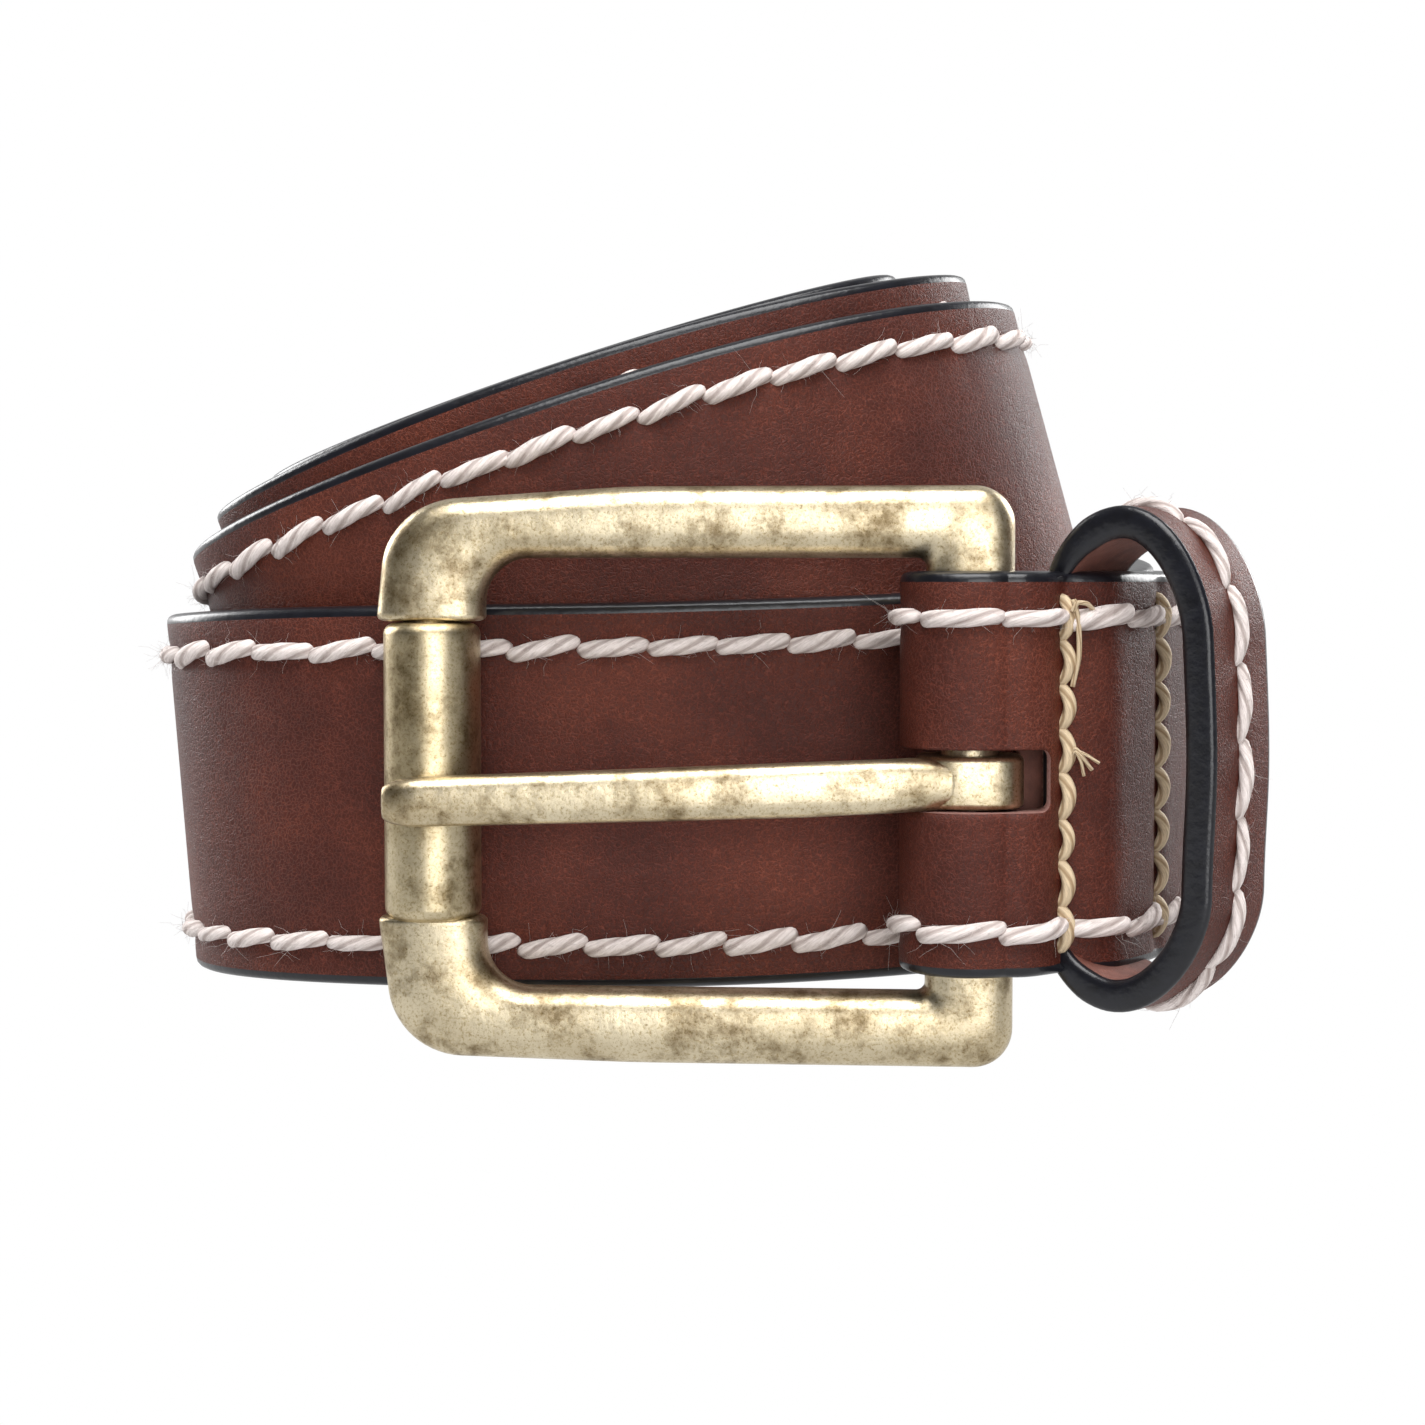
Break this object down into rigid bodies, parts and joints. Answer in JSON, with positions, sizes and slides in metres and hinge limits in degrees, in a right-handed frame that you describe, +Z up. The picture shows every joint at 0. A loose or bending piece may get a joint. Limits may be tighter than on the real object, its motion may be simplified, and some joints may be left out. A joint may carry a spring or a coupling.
{
  "type": "leather belt",
  "caption": "Stitched full-width leather belt with a cast brass roller buckle and leather keeper, rolled up and standing on its edge.",
  "frame": {"origin": "bottom centre of the box round the rolled belt, on the surface it stands on", "axes": "+X along the buckle from roller to keeper, +Y away from the buckle's front, +Z up"},
  "size_m": [0.1198, 0.0934, 0.0804],
  "materials": {
    "grain_leather": "waxed full-grain, chestnut, black painted edge",
    "lining_leather": "smooth vegetable-tanned lining",
    "cotton_thread": "three-ply twisted cotton, slightly hairy",
    "waxed_thread": "waxed beige thread",
    "antique_brass": "cast, plated and rubbed back"
  },
  "bodies": {
    "strap": {"strap_face": "grain_leather", "strap_lining": "lining_leather", "edge_thread_face": "cotton_thread", "edge_thread_lining": "cotton_thread", "seam_thread_beside_bar": "waxed_thread", "seam_thread_beyond_keeper": "waxed_thread", "keeper_face": "grain_leather", "keeper_lining": "lining_leather", "keeper_thread": "cotton_thread"},
    "frame": {"buckle_frame": "antique_brass"},
    "roller": {"roller": "antique_brass"},
    "prong": {"prong": "antique_brass"}
  },
  "joints": [
    {"name": "buckle_swing", "type": "hinge", "parent": "strap", "child": "frame", "pos_m": [0.02825, -0.03184, 0.03092], "axis": [0, 0.1097, 0.994], "range_deg": [0, 45]},
    {"name": "prong_swing", "type": "hinge", "parent": "frame", "child": "prong", "pos_m": [0.02825, -0.03184, 0.03092], "axis": [0, 0.1097, 0.994], "range_deg": [0, 45]},
    {"name": "roller_spin", "type": "hinge", "parent": "frame", "child": "roller", "pos_m": [-0.02588, -0.02763, 0.03026], "axis": [0, 0.1097, 0.994], "continuous": true}
  ]
}
